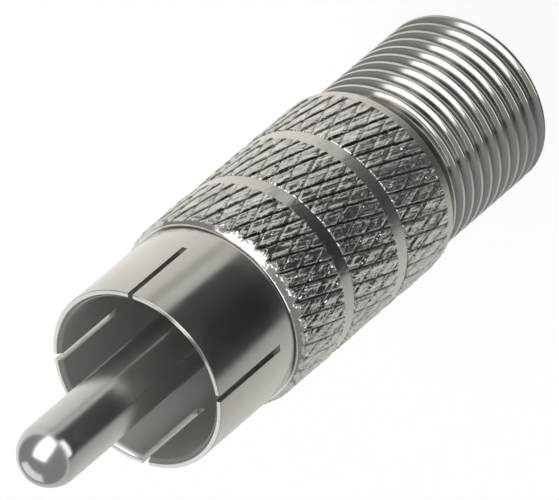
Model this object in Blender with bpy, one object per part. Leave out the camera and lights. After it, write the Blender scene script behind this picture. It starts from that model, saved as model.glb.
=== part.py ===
"""Straight adapter with a threaded F socket at its foot and a split-shell phono plug on top.

It stands on the end face of the F socket, with the plug's centre pin pointing up (+Z).
Every length is in metres. The pieces are turned round the Z axis, as on a lathe.
"""

import math

import bmesh
import bpy
from mathutils import Matrix, Vector

# Threaded barrel of the F socket
THREAD_DIAMETER = 0.00944
THREAD_PITCH = 0.00079375
THREAD_DEPTH = 0.00042
THREAD_CREST_SHARE = 0.16
THREAD_ROOT_SHARE = 0.20
THREAD_LENGTH = 0.00838
THREAD_LEAD_IN = 0.00032
RELIEF_WIDTH = 0.00042
RELIEF_DEPTH = 0.00046
BARREL_WALL = 0.00182
BARREL_BORE_DEPTH = 0.0079
BARREL_MOUTH_BEVEL = 0.0003
BARREL_WEB = 0.001
BARREL_WEB_CLEARANCE = 0.0003
SPIGOT_LENGTH = 0.0066
SPIGOT_BEVEL = 0.0002

# Knurled body with the split shell of the plug. The shell's diameter sets the others:
# each step is how far that surface stands out from the shell's. The plain lip and the plain
# grooves between the knurled bands lie just below the bottom of the knurl, by the plain drop.
SHELL_DIAMETER = 0.00954
LIP_WIDTH = 0.0005
LIP_BEVEL = 0.0001
KNURL_STEP = 0.00037
KNURL_DEPTH = 0.00014
PLAIN_DROP = 0.00002
KNURL_STARTS = 40
KNURL_ANGLE = math.radians(18.5)
KNURL_FLAT_SHARE = 0.45
REAR_BAND = 0.00355
MIDDLE_BAND = 0.00375
FRONT_BAND = 0.00345
GROOVE_WIDTH = 0.00078
NOSE_LENGTH = 0.0004
NOSE_STEP = 0.00009
SHELL_WALL = 0.00043
SHELL_LENGTH = 0.0062
SHELL_DEPTH = 0.008
RIM_OUTER_BEVEL = 0.00008
RIM_INNER_BEVEL = 0.00016
SLOT_WIDTH = 0.0003
SLOT_LENGTH = 0.00475
SLOT_TURN = math.radians(45)
REAR_WALL = 0.00062
FRONT_WALL = 0.00122
BODY_WEB = 0.0006
BODY_WEB_CLEARANCE = 0.00095

# Centre pin of the plug
PIN_DIAMETER = 0.0032
PIN_REACH = 0.0087
PIN_SHANK = 0.0025
PIN_TAIL = 0.0015
PIN_TAIL_BORE = 0.0013
PIN_TAIL_BORE_DEPTH = 0.003

# Spring contact of the F socket
CONTACT_DIAMETER = 0.0022
CONTACT_MOUTH_DIAMETER = 0.002
CONTACT_BORE = 0.0011
CONTACT_BORE_DEPTH = 0.0055
CONTACT_MOUTH_BEVEL = 0.0002
CONTACT_SLIT = 0.0002
CONTACT_SLIT_LENGTH = 0.0042
CONTACT_COLLAR_STEP = 0.0004
CONTACT_TAIL = 0.0012
CONTACT_TAIL_LENGTH = 0.0026

# Insulators
FACE_RECESS = 0.0003
FACE_WALL = 0.0012
ENTRY_HOLE = 0.0013
ENTRY_FUNNEL = 0.0024
ENTRY_FUNNEL_DEPTH = 0.0005
INSULATOR_BEVEL = 0.00015

# Radial and end clearance between neighbours, and how far a cutter passes its work
FIT = 0.00005
OVERRUN = 0.001

# Sides of the round pieces
BODY_SIDES = 2 * KNURL_STARTS
BARREL_SIDES = 48
THREAD_SIDES = 24
INNER_SIDES = 24
BALL_RINGS = 6
SHARP_EDGE = math.radians(30)

# Heights along the axis, from the F end face up
relief_foot = THREAD_LENGTH
body_foot = relief_foot + RELIEF_WIDTH
lip_top = body_foot + LIP_WIDTH
rear_band_top = lip_top + REAR_BAND
middle_band_foot = rear_band_top + GROOVE_WIDTH
middle_band_top = middle_band_foot + MIDDLE_BAND
front_band_foot = middle_band_top + GROOVE_WIDTH
front_band_top = front_band_foot + FRONT_BAND
nose_top = front_band_top + NOSE_LENGTH
rim = nose_top + SHELL_LENGTH
shell_floor = rim - SHELL_DEPTH
spigot_top = body_foot + SPIGOT_LENGTH
body_web_foot = spigot_top + FIT
body_web_top = body_web_foot + BODY_WEB
barrel_web_foot = BARREL_BORE_DEPTH
barrel_web_top = barrel_web_foot + BARREL_WEB
pin_tip = rim + PIN_REACH
pin_shoulder = shell_floor + FIT
pin_foot = body_web_foot - PIN_TAIL
insulator_top = barrel_web_foot - FIT
contact_mouth = FACE_RECESS + FACE_WALL + FIT
contact_tail_foot = pin_foot - FIT

# Radii about the axis
thread_crest = THREAD_DIAMETER / 2
thread_root = thread_crest - THREAD_DEPTH
barrel_bore = thread_crest - BARREL_WALL
shell_radius = SHELL_DIAMETER / 2
knurl_crest = shell_radius + KNURL_STEP
knurl_floor = knurl_crest - KNURL_DEPTH
rear_bore = shell_radius - REAR_WALL
front_bore = shell_radius - FRONT_WALL
spigot_radius = rear_bore - FIT
contact_radius = CONTACT_DIAMETER / 2
collar_radius = contact_radius + CONTACT_COLLAR_STEP
contact_hole = contact_radius + FIT


def plated_metal(name, colour, roughness):
    return make_material(name, colour, roughness, 1.0)


def plastic(name, colour, roughness):
    return make_material(name, colour, roughness, 0.0)


def make_material(name, colour, roughness, metallic):
    material = bpy.data.materials.new(name)
    material.use_nodes = True
    shader = material.node_tree.nodes["Principled BSDF"]
    shader.inputs["Base Color"].default_value = (*colour, 1.0)
    shader.inputs["Roughness"].default_value = roughness
    shader.inputs["Metallic"].default_value = metallic
    return material


def add_object(name, bm, material=None):
    """Turns a finished bmesh into an object that rides on the adapter's empty."""
    bmesh.ops.recalc_face_normals(bm, faces=bm.faces)
    mesh = bpy.data.meshes.new(name)
    bm.to_mesh(mesh)
    bm.free()
    mesh.shade_smooth()
    mesh.set_sharp_from_angle(angle=SHARP_EDGE)
    piece = bpy.data.objects.new(name, mesh)
    bpy.context.scene.collection.objects.link(piece)
    if material:
        mesh.materials.append(material)
        piece.parent = bpy.data.objects["adapter"]
    return piece


def spin_outline(outline, sides):
    """Turns an outline of (radius, height) points round Z into a closed bmesh.

    The outline starts half a side away from +X, so the middle of a flat side lies there.
    """
    bm = bmesh.new()
    start = math.pi / sides
    points = []
    for radius, height in outline:
        points.append(bm.verts.new((radius * math.cos(start), radius * math.sin(start), height)))
    on_axis = outline[0][0] == 0.0 and outline[-1][0] == 0.0
    pairs = list(zip(points, points[1:]))
    if not on_axis:
        pairs.append((points[-1], points[0]))
    edges = [bm.edges.new(pair) for pair in pairs]
    bmesh.ops.spin(
        bm,
        geom=points + edges,
        cent=(0.0, 0.0, 0.0),
        axis=(0.0, 0.0, 1.0),
        angle=math.tau,
        steps=sides,
        use_merge=True,
    )
    bmesh.ops.remove_doubles(bm, verts=bm.verts, dist=1e-7)
    return bm


def turned(name, outline, material, sides):
    return add_object(name, spin_outline(outline, sides), material)


def arc(centre_height, radius, start, stop, steps):
    """Points of an arc round a centre on the axis, from angle start to stop above the horizontal."""
    angles = [start + (stop - start) * step / steps for step in range(steps + 1)]
    return [(radius * math.cos(a), centre_height + radius * math.sin(a)) for a in angles]


def cutter(name, bm):
    """A helper that only cuts, so it stays out of renders."""
    tool = add_object(name, bm)
    tool.hide_render = True
    tool.display_type = "WIRE"
    return tool


def combine(piece, tool, operation):
    modifier = piece.modifiers.new(tool.name, "BOOLEAN")
    modifier.operation = operation
    modifier.solver = "EXACT"
    modifier.object = tool
    return modifier


def saw_blade(name, width, reach, foot, top, turn):
    """A flat blade across the axis, from foot to top, turned about Z."""
    bm = bmesh.new()
    bmesh.ops.create_cube(bm, size=1.0)
    bmesh.ops.scale(bm, vec=(reach, width, top - foot), verts=bm.verts)
    bmesh.ops.rotate(bm, matrix=Matrix.Rotation(turn, 3, "Z"), verts=bm.verts)
    bmesh.ops.translate(bm, vec=(0.0, 0.0, (foot + top) / 2), verts=bm.verts)
    return cutter(name, bm)


def ring(bm, radii, height):
    """One ring of vertices, with a radius for each side."""
    sides = len(radii)
    spots = []
    for side, radius in enumerate(radii):
        angle = math.tau * side / sides
        spots.append(bm.verts.new((radius * math.cos(angle), radius * math.sin(angle), height)))
    return spots


def bridge(bm, lower, upper):
    """Closes two rings of equally many vertices with quads."""
    sides = len(lower)
    for side in range(sides):
        after = (side + 1) % sides
        bm.faces.new((lower[side], lower[after], upper[after], upper[side]))


def knurled_gauge():
    """The space inside a diamond knurl: pyramids between two crossing sets of helical grooves.

    The grooves cross at every second point of a grid, at the knurl's depth, and a pyramid
    peaks at each point between. The peaks stand past the turned blank, which leaves a flat
    on each diamond. Past the knurl's ends the gauge is wider than the body.
    """
    peak = knurl_floor + KNURL_DEPTH / (1 - KNURL_FLAT_SHARE)
    half_row = math.pi * knurl_crest / KNURL_STARTS / math.tan(KNURL_ANGLE)
    foot = lip_top - LIP_WIDTH / 2
    rows = math.ceil((nose_top - foot) / half_row) + 1
    columns = 2 * KNURL_STARTS
    wide = [knurl_crest + OVERRUN] * columns
    bm = bmesh.new()
    bottom = ring(bm, wide, body_foot - OVERRUN)
    step_out = ring(bm, wide, foot)
    bm.faces.new(reversed(bottom))
    bridge(bm, bottom, step_out)
    below = step_out
    for row in range(rows + 1):
        radii = [peak if (row + column) % 2 else knurl_floor for column in range(columns)]
        level = ring(bm, radii, foot + row * half_row)
        if row == 0:
            bridge(bm, below, level)
        else:
            for column in range(columns):
                after = (column + 1) % columns
                corners = (below[column], below[after], level[after], level[column])
                if (row + column) % 2:
                    bm.faces.new((corners[0], corners[1], corners[2]))
                    bm.faces.new((corners[0], corners[2], corners[3]))
                else:
                    bm.faces.new((corners[0], corners[1], corners[3]))
                    bm.faces.new((corners[1], corners[2], corners[3]))
        below = level
    knurl_end = foot + rows * half_row
    step_in = ring(bm, wide, knurl_end)
    top = ring(bm, wide, rim + OVERRUN)
    bridge(bm, below, step_in)
    bridge(bm, step_in, top)
    bm.faces.new(top)
    return cutter("knurl_gauge", bm)


def thread_gauge():
    """The space inside a right-hand thread: one long helical strip that joins itself every turn."""
    flank = (1 - THREAD_CREST_SHARE - THREAD_ROOT_SHARE) / 2
    profile = [
        (thread_root, 0.0),
        (thread_root, THREAD_ROOT_SHARE),
        (thread_crest, THREAD_ROOT_SHARE + flank),
        (thread_crest, THREAD_ROOT_SHARE + flank + THREAD_CREST_SHARE),
    ]
    steps = len(profile)
    foot = -2 * THREAD_PITCH
    turns = math.ceil((spigot_top - foot) / THREAD_PITCH) + 2
    rows = steps * turns
    bm = bmesh.new()
    grid = []
    for row in range(rows + steps + 1):
        radius, share = profile[row % steps]
        start = foot + (row // steps + share) * THREAD_PITCH
        line = []
        for side in range(THREAD_SIDES):
            angle = math.tau * side / THREAD_SIDES
            height = start + THREAD_PITCH * side / THREAD_SIDES
            spot = Vector((radius * math.cos(angle), radius * math.sin(angle), height))
            line.append(bm.verts.new(spot) if side == 0 or row <= rows else None)
        grid.append(line)
    for row in range(rows):
        for side in range(THREAD_SIDES):
            last = side == THREAD_SIDES - 1
            right = 0 if last else side + 1
            lift = steps if last else 0
            bm.faces.new(
                (
                    grid[row][side],
                    grid[row + lift][right],
                    grid[row + 1 + lift][right],
                    grid[row + 1][side],
                )
            )
    foot_loop = grid[0] + [grid[row][0] for row in range(steps, 0, -1)]
    top_loop = grid[rows] + [grid[rows + row][0] for row in range(steps, 0, -1)]
    foot_hub = bm.verts.new((0.0, 0.0, foot - OVERRUN))
    top_hub = bm.verts.new((0.0, 0.0, foot + (turns + 1) * THREAD_PITCH + OVERRUN))
    for loop, hub in ((foot_loop, foot_hub), (top_loop, top_hub)):
        for index, spot in enumerate(loop):
            bm.faces.new((loop[index - 1], spot, hub))
    return cutter("thread_gauge", bm)


def make_f_barrel(metal):
    """The threaded barrel, with a plain spigot that is pressed into the knurled body.

    One bore runs in from each end, up to the web that the contact's collar passes through.
    """
    relief = thread_crest - RELIEF_DEPTH
    web_hole = collar_radius + BARREL_WEB_CLEARANCE
    outline = [
        (barrel_bore + BARREL_MOUTH_BEVEL, 0.0),
        (thread_crest - THREAD_LEAD_IN, 0.0),
        (thread_crest + FIT, THREAD_LEAD_IN + FIT),
        (thread_crest + FIT, relief_foot),
        (relief, relief_foot),
        (relief, body_foot - FIT),
        (spigot_radius, body_foot - FIT),
        (spigot_radius, spigot_top - SPIGOT_BEVEL),
        (spigot_radius - SPIGOT_BEVEL, spigot_top),
        (barrel_bore, spigot_top),
        (barrel_bore, barrel_web_top),
        (web_hole, barrel_web_top),
        (web_hole, barrel_web_foot),
        (barrel_bore, barrel_web_foot),
        (barrel_bore, BARREL_MOUTH_BEVEL),
    ]
    barrel = turned("f_barrel", outline, metal, BARREL_SIDES)
    combine(barrel, thread_gauge(), "INTERSECT")
    return barrel


def make_knurled_body(metal):
    """The knurled body, turned in one piece with the plug's split shell."""
    plain = knurl_floor - PLAIN_DROP
    inside = shell_radius - SHELL_WALL
    web_hole = PIN_SHANK / 2 + BODY_WEB_CLEARANCE
    bands = [
        (lip_top, rear_band_top),
        (middle_band_foot, middle_band_top),
        (front_band_foot, front_band_top),
    ]
    outline = [
        (rear_bore + LIP_BEVEL, body_foot),
        (plain - LIP_BEVEL, body_foot),
        (plain, body_foot + LIP_BEVEL),
        (plain, lip_top),
    ]
    for foot, top in bands:
        if foot != lip_top:
            outline.append((plain, foot))
        outline.append((knurl_crest, foot))
        outline.append((knurl_crest, top))
        if top != front_band_top:
            outline.append((plain, top))
    outline += [
        (shell_radius + NOSE_STEP, nose_top),
        (shell_radius, nose_top),
        (shell_radius, rim - RIM_OUTER_BEVEL),
        (shell_radius - RIM_OUTER_BEVEL, rim),
        (inside + RIM_INNER_BEVEL, rim),
        (inside, rim - RIM_INNER_BEVEL),
        (inside, shell_floor),
        (front_bore, shell_floor),
        (front_bore, body_web_top),
        (web_hole, body_web_top),
        (web_hole, body_web_foot),
        (rear_bore, body_web_foot),
        (rear_bore, body_foot + LIP_BEVEL),
    ]
    body = turned("knurled_body", outline, metal, BODY_SIDES)
    combine(body, knurled_gauge(), "INTERSECT")
    for number, turn in enumerate((SLOT_TURN, SLOT_TURN + math.pi / 2), start=1):
        blade = saw_blade(
            f"shell_saw_{number}",
            SLOT_WIDTH,
            SHELL_DIAMETER + 2 * OVERRUN,
            rim - SLOT_LENGTH,
            rim + OVERRUN,
            turn,
        )
        combine(body, blade, "DIFFERENCE")
    return body


def make_plug_pin(metal):
    """The centre pin: a ball-nosed pin, a shank through its insulator and a drilled tail."""
    radius = PIN_DIAMETER / 2
    shank = PIN_SHANK / 2
    bore = PIN_TAIL_BORE / 2
    outline = [
        (0.0, pin_foot + PIN_TAIL_BORE_DEPTH),
        (bore, pin_foot + PIN_TAIL_BORE_DEPTH),
        (bore, pin_foot),
        (shank, pin_foot),
        (shank, pin_shoulder),
        (radius, pin_shoulder),
    ]
    outline += arc(pin_tip - radius, radius, 0.0, math.pi / 2, BALL_RINGS)[:-1]
    outline.append((0.0, pin_tip))
    return turned("plug_pin", outline, metal, INNER_SIDES)


def make_plug_insulator(material):
    """The bush that holds the centre pin in the body, flush with the shell's floor."""
    outer = front_bore - FIT
    hole = PIN_SHANK / 2 + FIT
    foot = body_web_top + FIT
    outline = [
        (hole, foot),
        (outer - INSULATOR_BEVEL, foot),
        (outer, foot + INSULATOR_BEVEL),
        (outer, shell_floor),
        (hole, shell_floor),
    ]
    return turned("plug_insulator", outline, material, INNER_SIDES)


def make_f_contact(metal):
    """The spring socket that grips the cable's inner conductor, with a tail in the pin's bore."""
    mouth = CONTACT_MOUTH_DIAMETER / 2
    bore = CONTACT_BORE / 2
    tail_top = contact_tail_foot + CONTACT_TAIL_LENGTH
    outline = [
        (0.0, contact_mouth + CONTACT_BORE_DEPTH),
        (bore, contact_mouth + CONTACT_BORE_DEPTH),
        (bore, contact_mouth + CONTACT_MOUTH_BEVEL),
        (bore + CONTACT_MOUTH_BEVEL, contact_mouth),
        (mouth, contact_mouth),
        (contact_radius, contact_mouth + CONTACT_SLIT_LENGTH),
        (contact_radius, barrel_web_foot),
        (collar_radius, barrel_web_foot),
        (collar_radius, barrel_web_top),
        (contact_radius, barrel_web_top),
        (contact_radius, contact_tail_foot),
        (CONTACT_TAIL / 2, contact_tail_foot),
        (CONTACT_TAIL / 2, tail_top),
        (0.0, tail_top),
    ]
    contact = turned("f_contact", outline, metal, INNER_SIDES)
    for number, turn in enumerate((0.0, math.pi / 2), start=1):
        blade = saw_blade(
            f"contact_saw_{number}",
            CONTACT_SLIT,
            CONTACT_DIAMETER + 2 * OVERRUN,
            contact_mouth - OVERRUN,
            contact_mouth + CONTACT_SLIT_LENGTH,
            turn,
        )
        combine(contact, blade, "DIFFERENCE")
    return contact


def make_f_insulator(material):
    """The dielectric in the socket's mouth, with a funnel that leads the conductor in."""
    outer = barrel_bore - FIT
    face = FACE_RECESS
    outline = [
        (ENTRY_FUNNEL / 2, face),
        (outer, face),
        (outer, insulator_top - INSULATOR_BEVEL),
        (outer - INSULATOR_BEVEL, insulator_top),
        (contact_hole, insulator_top),
        (contact_hole, face + FACE_WALL),
        (ENTRY_HOLE / 2, face + FACE_WALL),
        (ENTRY_HOLE / 2, face + ENTRY_FUNNEL_DEPTH),
    ]
    return turned("f_insulator", outline, material, INNER_SIDES)


def make_core_insulator(material):
    """The bush inside the spigot that keeps the contact central behind its collar."""
    outer = barrel_bore - FIT
    foot = barrel_web_top + FIT
    top = contact_tail_foot - FIT
    outline = [
        (contact_hole, foot),
        (outer - INSULATOR_BEVEL, foot),
        (outer, foot + INSULATOR_BEVEL),
        (outer, top),
        (contact_hole, top),
    ]
    return turned("core_insulator", outline, material, INNER_SIDES)


def build_adapter():
    for leftover in list(bpy.data.objects):
        bpy.data.objects.remove(leftover)
    holder = bpy.data.objects.new("adapter", None)
    bpy.context.scene.collection.objects.link(holder)
    nickel = plated_metal("nickel_plate", (0.62, 0.60, 0.57), 0.16)
    pin_nickel = plated_metal("pin_plate", (0.64, 0.62, 0.60), 0.12)
    bronze = plated_metal("contact_bronze", (0.72, 0.55, 0.33), 0.28)
    white = plastic("natural_insulator", (0.84, 0.83, 0.78), 0.45)
    black = plastic("dark_insulator", (0.03, 0.03, 0.03), 0.40)
    make_f_barrel(nickel)
    make_knurled_body(nickel)
    make_plug_pin(pin_nickel)
    make_plug_insulator(black)
    make_f_contact(bronze)
    make_f_insulator(white)
    make_core_insulator(white)


build_adapter()
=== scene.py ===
"""Finish of a phono plug to F socket adapter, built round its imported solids.

The adapter stands on the end face of its F socket, pin up, with its axis on Z. The knurled body
and the threaded barrel are first modelled flat, as a strip of their surface with the whole section
on it. The strip is repeated, and the sheet is rolled up round the axis. Lengths are in metres.
"""

import math

import bpy
import numpy as np
from bpy.props import FloatProperty, FloatVectorProperty, IntProperty, PointerProperty
from bpy.types import Operator, Panel, PropertyGroup
from mathutils import Euler, Matrix, Vector


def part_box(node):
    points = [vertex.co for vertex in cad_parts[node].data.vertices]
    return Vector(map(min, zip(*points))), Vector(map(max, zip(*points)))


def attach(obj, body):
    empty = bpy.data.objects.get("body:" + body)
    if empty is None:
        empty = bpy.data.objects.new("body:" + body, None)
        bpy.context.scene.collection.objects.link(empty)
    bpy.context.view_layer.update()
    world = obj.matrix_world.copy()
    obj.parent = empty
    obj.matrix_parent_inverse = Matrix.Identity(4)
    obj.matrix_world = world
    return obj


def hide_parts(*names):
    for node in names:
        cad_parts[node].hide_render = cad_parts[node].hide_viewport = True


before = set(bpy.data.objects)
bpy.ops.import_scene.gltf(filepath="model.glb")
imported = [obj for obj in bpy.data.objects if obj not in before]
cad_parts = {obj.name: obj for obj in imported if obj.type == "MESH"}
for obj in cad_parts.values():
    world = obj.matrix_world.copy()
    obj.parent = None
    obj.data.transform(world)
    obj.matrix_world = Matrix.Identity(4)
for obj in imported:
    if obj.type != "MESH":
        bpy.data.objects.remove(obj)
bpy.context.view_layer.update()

bl_info = {
    "name": "Phono plug to F socket adapter",
    "version": (1, 0, 0),
    "blender": (4, 5, 0),
    "location": "3D View > Sidebar > Adapter",
    "description": "Models and finishes a knurled coaxial adapter round its packed solids",
    "category": "Add Mesh",
}

body_low, body_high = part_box("knurled_body")
barrel_low, barrel_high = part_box("f_barrel")
pin_low, pin_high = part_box("plug_pin")
bush_low, bush_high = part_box("plug_insulator")
dielectric_low, dielectric_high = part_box("f_insulator")
contact_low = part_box("f_contact")[0]

# Half the height of a wall that is modelled as a very steep slope, the reach of a merge and of a cut,
# how near to a level an edge must lie to be picked, and half the gap that is bridged after rolling up
WALL_RUN = 3e-6
MERGE = 1e-6
CUT_REACH = 1e-8
LEVEL = 2e-8
SEAM_GAP = MERGE * 50
SHARP = math.radians(32)

# Height at which two grooves of the knurl cross, where its flat sheet begins, and where the slots lie
CROSSING = 0.01433
KNURL_START = math.radians(2.3 + 90)
SLOT_TURNS = [math.radians(turn) for turn in (42.6, 135.0, -136.0, -42.6)]

# Across a track of the knurl, from one groove to the next: depths of the two cuts and the painted shade in
# their grooves
DEEP_CUT = ([0, 0.06, 0.14, 0.8, 0.9, 1], [1, 0.5, 0, 0, 0.45, 1])
SHALLOW_CUT = ([0, 0.08, 0.19, 0.81, 0.92, 1], [1, 0.55, 0, 0, 0.55, 1])
DEEP_GROOVE_SHADE = ([0, 0.06, 0.14, 0.9, 1], [1, 0.85, 0, 0, 1])
SHALLOW_GROOVE_SHADE = ([0, 0.08, 0.92, 1], [0.6, 0, 0, 0.6])

# Bump of the knurl's burrs and pits
BURR_HEIGHT = 3.5e-5
PIT_DEPTH = 3.5e-5

# Shape of the nose before the shell: edge of the knurl, end and swelling of its slope, land and step
NOSE_EDGE = 0.00001
NOSE_SLOPE_END = 0.00011
NOSE_SWELLING = 0.000016
NOSE_LAND = 0.000092
NOSE_STEP = 0.00003

# Of the barrel, the pin and the plug's insulator: a wall's run, a bevel, a seam and the roundings
RELIEF_RUN = 0.0001
SPIGOT_BEVEL = 0.0002
SPIGOT_SEAM = 0.002
BARREL_ROUND = 0.00004
PIN_ROUND = 0.00008
PIN_BALL_STEPS = 28
BUSH_ROUND = 0.0001

# Of the socket's insulator: radius of the hole round the contact, depth of the funnel, seam and rounding
CONTACT_HOLE = 0.00115
FUNNEL_DEPTH = 0.0005
FACE_SEAM = 0.0001
DIELECTRIC_ROUND = 0.00008

# Of the mirrored card: radius and height, and where its near levels give way to the far ones
CARD_RADIUS = 0.35
CARD_HEIGHT = 0.0003
CARD_BLEND = (0.014, 0.024)

# Grey levels painted on the card as the light and shade that the plating mirrors, by degrees to the right
# of the front
FAR_LEVELS = (
    (-180, 0.58), (-120, 0.57), (-72, 0.4), (-60, 0.34), (-52, 0.04), (-36, 0.022), (-8, 0.025),
    (10, 0.045), (31, 0.06), (35, 0.46), (45, 0.5), (50, 0.36), (56, 0.37), (61, 0.56), (104, 0.72),
    (180, 0.84),
)
NEAR_LEVELS = (
    (-180, 0.6), (-88, 0.55), (-72, 0.48), (-58, 0.36), (-42, 0.13), (-24, 0.09), (-8, 0.11),
    (8, 0.165), (24, 0.3), (32, 0.42), (40, 0.5), (56, 0.62), (72, 0.75), (180, 0.78),
)

# Place, aim, upward direction, width and height of each lamp
CENTRE = (0.0, 0.0, 0.02)
UP = (0.0, 0.0, 1.0)
LAMPS = {
    "key": ((0.209, -0.354, 0.328), (-0.021, -0.096, -0.035), (-0.27, 0.69, 0.67), 0.52, 0.875),
    "strip": ((-0.025, -0.0707, 0.0135), (0.0, 0.0, 0.0135), UP, 0.075, 0.025),
    "back": ((-0.06, 0.5, 0.36), CENTRE, UP, 0.6, 0.4),
    "fill": ((0.0, 0.0, 1.2), CENTRE, (0.0, 1.0, 0.0), 1.0, 1.0),
}


def length(name, default, description):
    return FloatProperty(
        name=name, description=description, default=default, min=0.0, unit="LENGTH", precision=6
    )


def angle(name, degrees, description):
    return FloatProperty(name=name, description=description, default=math.radians(degrees), subtype="ANGLE")


def number(name, default, description):
    return FloatProperty(name=name, description=description, default=default, min=0.0)


def four(name, default, description):
    return FloatVectorProperty(name=name, description=description, default=default, size=4)


def colour(name, default, description):
    return FloatVectorProperty(
        name=name, description=description, default=default, size=3, subtype="COLOR", min=0.0, max=1.0
    )


class KnurlSizes(PropertyGroup):
    """The knurled body, with the plug's split shell."""

    crest_diameter: length("Crest diameter", 0.010272, "Over the diamonds")
    starts: IntProperty(name="Starts", description="Grooves of each hand", default=40, min=8)
    helix: angle("Angle", 18.5, "Between a groove and the axis")
    deep_cut: length("Deep cut", 0.000105, "Depth of the grooves that climb to the right")
    shallow_cut: length("Shallow cut", 0.0001, "Depth of the grooves that climb to the left")
    dimple: length("Dimple", 0.00005, "How far the middle of a diamond lies below its edges")
    long_streaks: length("Long streaks", 0.00005, "Depth of the scuffs along the deep grooves")
    cross_streaks: length("Cross streaks", 0.00006, "Depth of the scuffs across them")
    plain_diameter: length("Plain diameter", 0.01005, "Over the lip and the two plain grooves")
    groove_width: length("Groove width", 0.00078, "Of each plain groove")
    lip_round: length("Lip round", 0.00013, "Rounding of the lip's edge beside the thread")
    lip_width: length("Lip width", 0.0005, "Of the plain lip beside the thread")
    rear_band: length("Rear band", 0.00355, "Width of the knurled band beside the lip")
    middle_band: length("Middle band", 0.00375, "Width of the knurled band between the grooves")
    front_band: length("Front band", 0.00345, "Width of the knurled band beside the nose")
    band_bevel: length("Band bevel", 0.00013, "Width of the rounded edges of the knurled bands")
    nose_length: length("Nose length", 0.0004, "From the knurl to the shell")
    nose_diameter: length("Nose diameter", 0.00974, "At the shell's root")
    root_groove: length("Root groove", 0.00007, "Width and depth of the fine groove at the shell's root")
    shell_diameter: length("Shell diameter", 0.00954, "Outside the split shell")
    shell_wall: length("Shell wall", 0.00043, "Thickness of the split shell")
    rim_bevel: length("Rim bevel", 0.0002, "Bevel inside the shell's rim")
    edge_round: length("Edge round", 0.00005, "Rounding of turned edges")
    slot_turns: four("Slot turns", SLOT_TURNS, "Of the saw cuts, from the front of the shell to the right")
    slot_widths: four("Slot widths", (0.00028, 0.00034, 0.00038, 0.00034), "Of the saw cuts")
    slot_lengths: four("Slot lengths", (0.00452, 0.00452, 0.00475, 0.005), "Of the saw cuts")
    web: length("Web", 0.0006, "Wall between the front and the rear bore")
    web_hole: length("Web hole", 0.0044, "Hole in that wall")


class ThreadSizes(PropertyGroup):
    """The threaded barrel of the F socket."""

    crest_diameter: length("Crest diameter", 0.00944, "Over the thread")
    pitch: length("Pitch", 0.00079375, "From one crest to the next")
    depth: length("Depth", 0.000415, "From crest to root")
    thread_length: length("Thread length", 0.00838, "From the end face to the relief")
    lead_in: length("Lead-in", 0.00032, "Bevel at the start of the thread")
    relief_depth: length("Relief depth", 0.00046, "Of the groove between thread and body")
    bore: length("Bore", 0.0058, "Inside the barrel")
    mouth_bevel: length("Mouth bevel", 0.0003, "At the mouth of the bore")
    web_foot: length("Web foot", 0.0079, "Where the front bore ends")
    web: length("Web", 0.001, "Wall between the two bores")
    web_hole: length("Web hole", 0.0036, "Hole in that wall")
    spigot_diameter: length("Spigot diameter", 0.0082, "The part that is pressed into the body")
    sides: IntProperty(name="Sides", description="Sides of the rolled-up thread", default=180, min=12)


class InnerSizes(PropertyGroup):
    """The pin and the insulators."""

    pin_diameter: length("Pin diameter", 0.0032, "Outside the plug's pin")
    pin_shank: length("Pin shank", 0.0025, "Where the pin passes its insulator")
    pin_bore: length("Pin bore", 0.0013, "Hole in the pin's tail")
    pin_bore_depth: length("Pin bore depth", 0.003, "Depth of that hole")
    clearance: length("Clearance", 0.00005, "Between neighbouring pieces")
    entry_hole: length("Entry hole", 0.0013, "In the face of the socket's insulator")
    entry_funnel: length("Entry funnel", 0.0024, "Mouth of the funnel that leads to it")
    sides: IntProperty(name="Sides", description="Sides of the turned pieces", default=96, min=12)


class FinishColours(PropertyGroup):
    """Colours of the plating and the plastics."""

    nickel: colour("Nickel", (0.66, 0.64, 0.61), "Plating of the body and the barrel")
    # A lighter copy of the nickel for the knurl: painted light that brightens its reflections
    lit_knurl_nickel: colour("Lit knurl nickel", (0.79, 0.77, 0.74), "Plating on the knurl")
    pin_nickel: colour("Pin plating", (0.64, 0.63, 0.61), "Plating of the pin")
    # Dark tone of the smudges, and of the painted shade in the knurl's grooves and the thread's roots
    smudge_and_shade_colour: colour("Smudge and shade", (0.08, 0.072, 0.062), "Plating in the bottom of the grooves")
    bronze: colour("Bronze", (0.72, 0.55, 0.33), "The spring contact")
    natural: colour("Natural plastic", (0.84, 0.83, 0.78), "The socket's insulators")
    dark: colour("Dark plastic", (0.03, 0.03, 0.03), "The plug's insulator")


class StudioSettings(PropertyGroup):
    """Camera, floor and lamps."""

    distance: length("Camera distance", 0.5795, "From the camera to the point that it aims at")
    aim_height: length("Aim height", 0.01593, "Height on the axis that the camera aims at")
    aim_side: length("Aim side", 0.00027, "How far the aim lies to the right of the axis")
    elevation: angle("Camera elevation", 42.8, "Above the horizon")
    roll: angle("Camera roll", -130.5, "About the line of sight")
    lens: number("Lens", 786.2, "Focal length in millimetres on a 36 mm sensor")
    floor_size: length("Floor size", 3.0, "Side of the square floor")
    floor_colour: colour("Floor", (0.93, 0.93, 0.93), "Colour of the floor")
    floor_glow: number("Floor glow", 0.93, "How far the camera sees the floor as plain white")
    sky: number("Sky", 0.28, "Brightness of the room")
    sky_mirrored: number("Mirrored sky", 0.02, "Share of the white sky in the mirrors")
    key: number("Key", 1.7, "Brightness of the large softbox")
    strip: number("Strip", 1.7, "Brightness of the low panel in front")
    back: number("Back", 0.8, "Brightness of the panel behind")
    fill: number("Fill", 3.0, "Brightness of the overhead fill")


def settings():
    return bpy.context.scene.adapter


def set_mode(mode):
    bpy.ops.object.mode_set(mode=mode)


def select_all():
    bpy.ops.mesh.select_all(action="SELECT")


def start_mesh():
    """Leaves the object mode with nothing selected, before a new primitive is added."""
    if bpy.context.object and bpy.context.object.mode != "OBJECT":
        set_mode("OBJECT")
    bpy.ops.object.select_all(action="DESELECT")


def make_active(piece):
    start_mesh()
    piece.select_set(True)
    bpy.context.view_layer.objects.active = piece


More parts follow.
